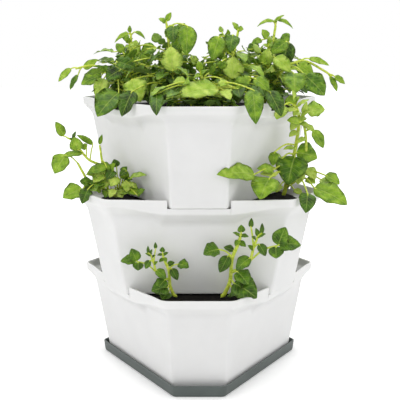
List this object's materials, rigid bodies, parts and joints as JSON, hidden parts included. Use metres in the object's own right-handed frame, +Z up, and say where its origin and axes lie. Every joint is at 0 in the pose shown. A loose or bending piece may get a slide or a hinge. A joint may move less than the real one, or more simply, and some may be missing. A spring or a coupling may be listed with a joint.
{
  "type": "vertical planter tower",
  "caption": "Stacking planter tower: tapered three-sided pots with cut corners, each turned half a turn on the one below, in a saucer, planted with leafy seedlings.",
  "frame": {"origin": "on the ground under the tower's upright axis, at the middle of the saucer's underside", "axes": "+Z up along the tower's axis, -Y towards the front, where the lowest pot's cut corner points, +X to the viewer's right"},
  "size_m": [0.6243, 0.539, 0.7899],
  "materials": {
    "pot_plastic": "moulded off-white polypropylene, softly sheened",
    "saucer_plastic": "moulded grey-green polypropylene, softly sheened",
    "soil": "dark crumbly potting soil, damp",
    "leaf": "fresh green leaves with paler yellow-green stems"
  },
  "bodies": {
    "saucer": {"saucer": "saucer_plastic"},
    "bottom_tier": {"pot_bottom": "pot_plastic", "soil_bottom": "soil", "plant_front_left": "leaf", "plant_front_right": "leaf", "plant_rear_right": "leaf", "plant_rear_left": "leaf"},
    "middle_tier": {"pot_middle": "pot_plastic", "soil_middle": "soil", "plant_middle_left": "leaf", "plant_middle_right": "leaf", "plant_middle_rear": "leaf"},
    "top_tier": {"pot_top": "pot_plastic", "soil_top": "soil", "plant_top_corner_1": "leaf", "plant_top_corner_2": "leaf", "plant_top_corner_3": "leaf", "plant_top_ring_1": "leaf", "plant_top_ring_2": "leaf", "plant_top_ring_3": "leaf", "plant_top_ring_4": "leaf", "plant_top_ring_5": "leaf", "plant_top_ring_6": "leaf"}
  },
  "joints": [
    {"name": "bottom_tier_lift", "type": "slide", "parent": "saucer", "child": "bottom_tier", "axis": [0, 0, 1], "range_m": [0, 0.15]},
    {"name": "middle_tier_lift", "type": "slide", "parent": "bottom_tier", "child": "middle_tier", "axis": [0, 0, 1], "range_m": [0, 0.15]},
    {"name": "top_tier_lift", "type": "slide", "parent": "middle_tier", "child": "top_tier", "axis": [0, 0, 1], "range_m": [0, 0.15]}
  ]
}
